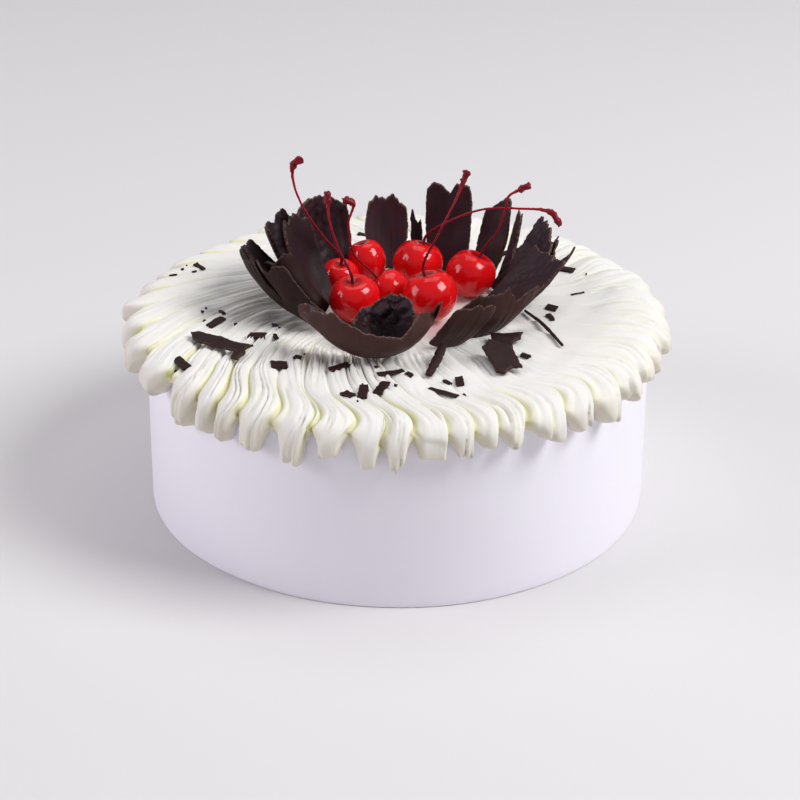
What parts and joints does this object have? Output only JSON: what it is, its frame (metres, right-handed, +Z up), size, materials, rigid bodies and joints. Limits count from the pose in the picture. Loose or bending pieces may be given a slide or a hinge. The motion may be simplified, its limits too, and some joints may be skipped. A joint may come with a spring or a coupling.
{
  "type": "black forest cake",
  "caption": "Round white cream cake with a piped cream cap, a flower of dark chocolate shavings and glossy red cherries with stems.",
  "frame": {"origin": "middle of the cake's flat underside", "axes": "+Z up out of the cake, the show side with the front petal faces -Y, +X to the right of it"},
  "size_m": [0.2201, 0.2155, 0.1412],
  "materials": {
    "cake_side": "smooth whipped cream, satin",
    "cream": "piped whipped cream, satin",
    "cherry": "wet glossy maraschino cherry",
    "stem": "dyed cherry stem, satin",
    "chocolate": "dark chocolate shaving, dull with a broken edge"
  },
  "bodies": {
    "root": {"cake_body": "cake_side", "piped_cream": "cream", "cherry_front_left": "cherry", "cherry_front_right": "cherry", "cherry_low_middle": "cherry", "cherry_back_left": "cherry", "cherry_back_middle": "cherry", "cherry_right": "cherry", "cherry_far_left": "cherry", "stem_front_left": "stem", "stem_front_right": "stem", "stem_low_middle": "stem", "stem_back_middle": "stem", "stem_right": "stem", "stem_far_left": "stem", "petal_front_bowl": "chocolate", "petal_front_inner": "chocolate", "petal_front_shard": "chocolate", "petal_left_outer": "chocolate", "petal_left_front": "chocolate", "petal_left_low": "chocolate", "petal_left_inner": "chocolate", "petal_left_roll": "chocolate", "petal_left_ruffle": "chocolate", "petal_left_back": "chocolate", "petal_back_left": "chocolate", "petal_back_spike": "chocolate", "petal_back_right": "chocolate", "petal_right_back": "chocolate", "petal_right_blade": "chocolate", "petal_right_jagged": "chocolate", "petal_right_shard": "chocolate", "petal_right_inner": "chocolate", "petal_right_front": "chocolate", "petal_front_right": "chocolate", "flake_strip": "chocolate", "flake_large": "chocolate", "flake_upper": "chocolate", "sliver_upright": "chocolate", "sliver_curl": "chocolate"}
  },
  "joints": []
}
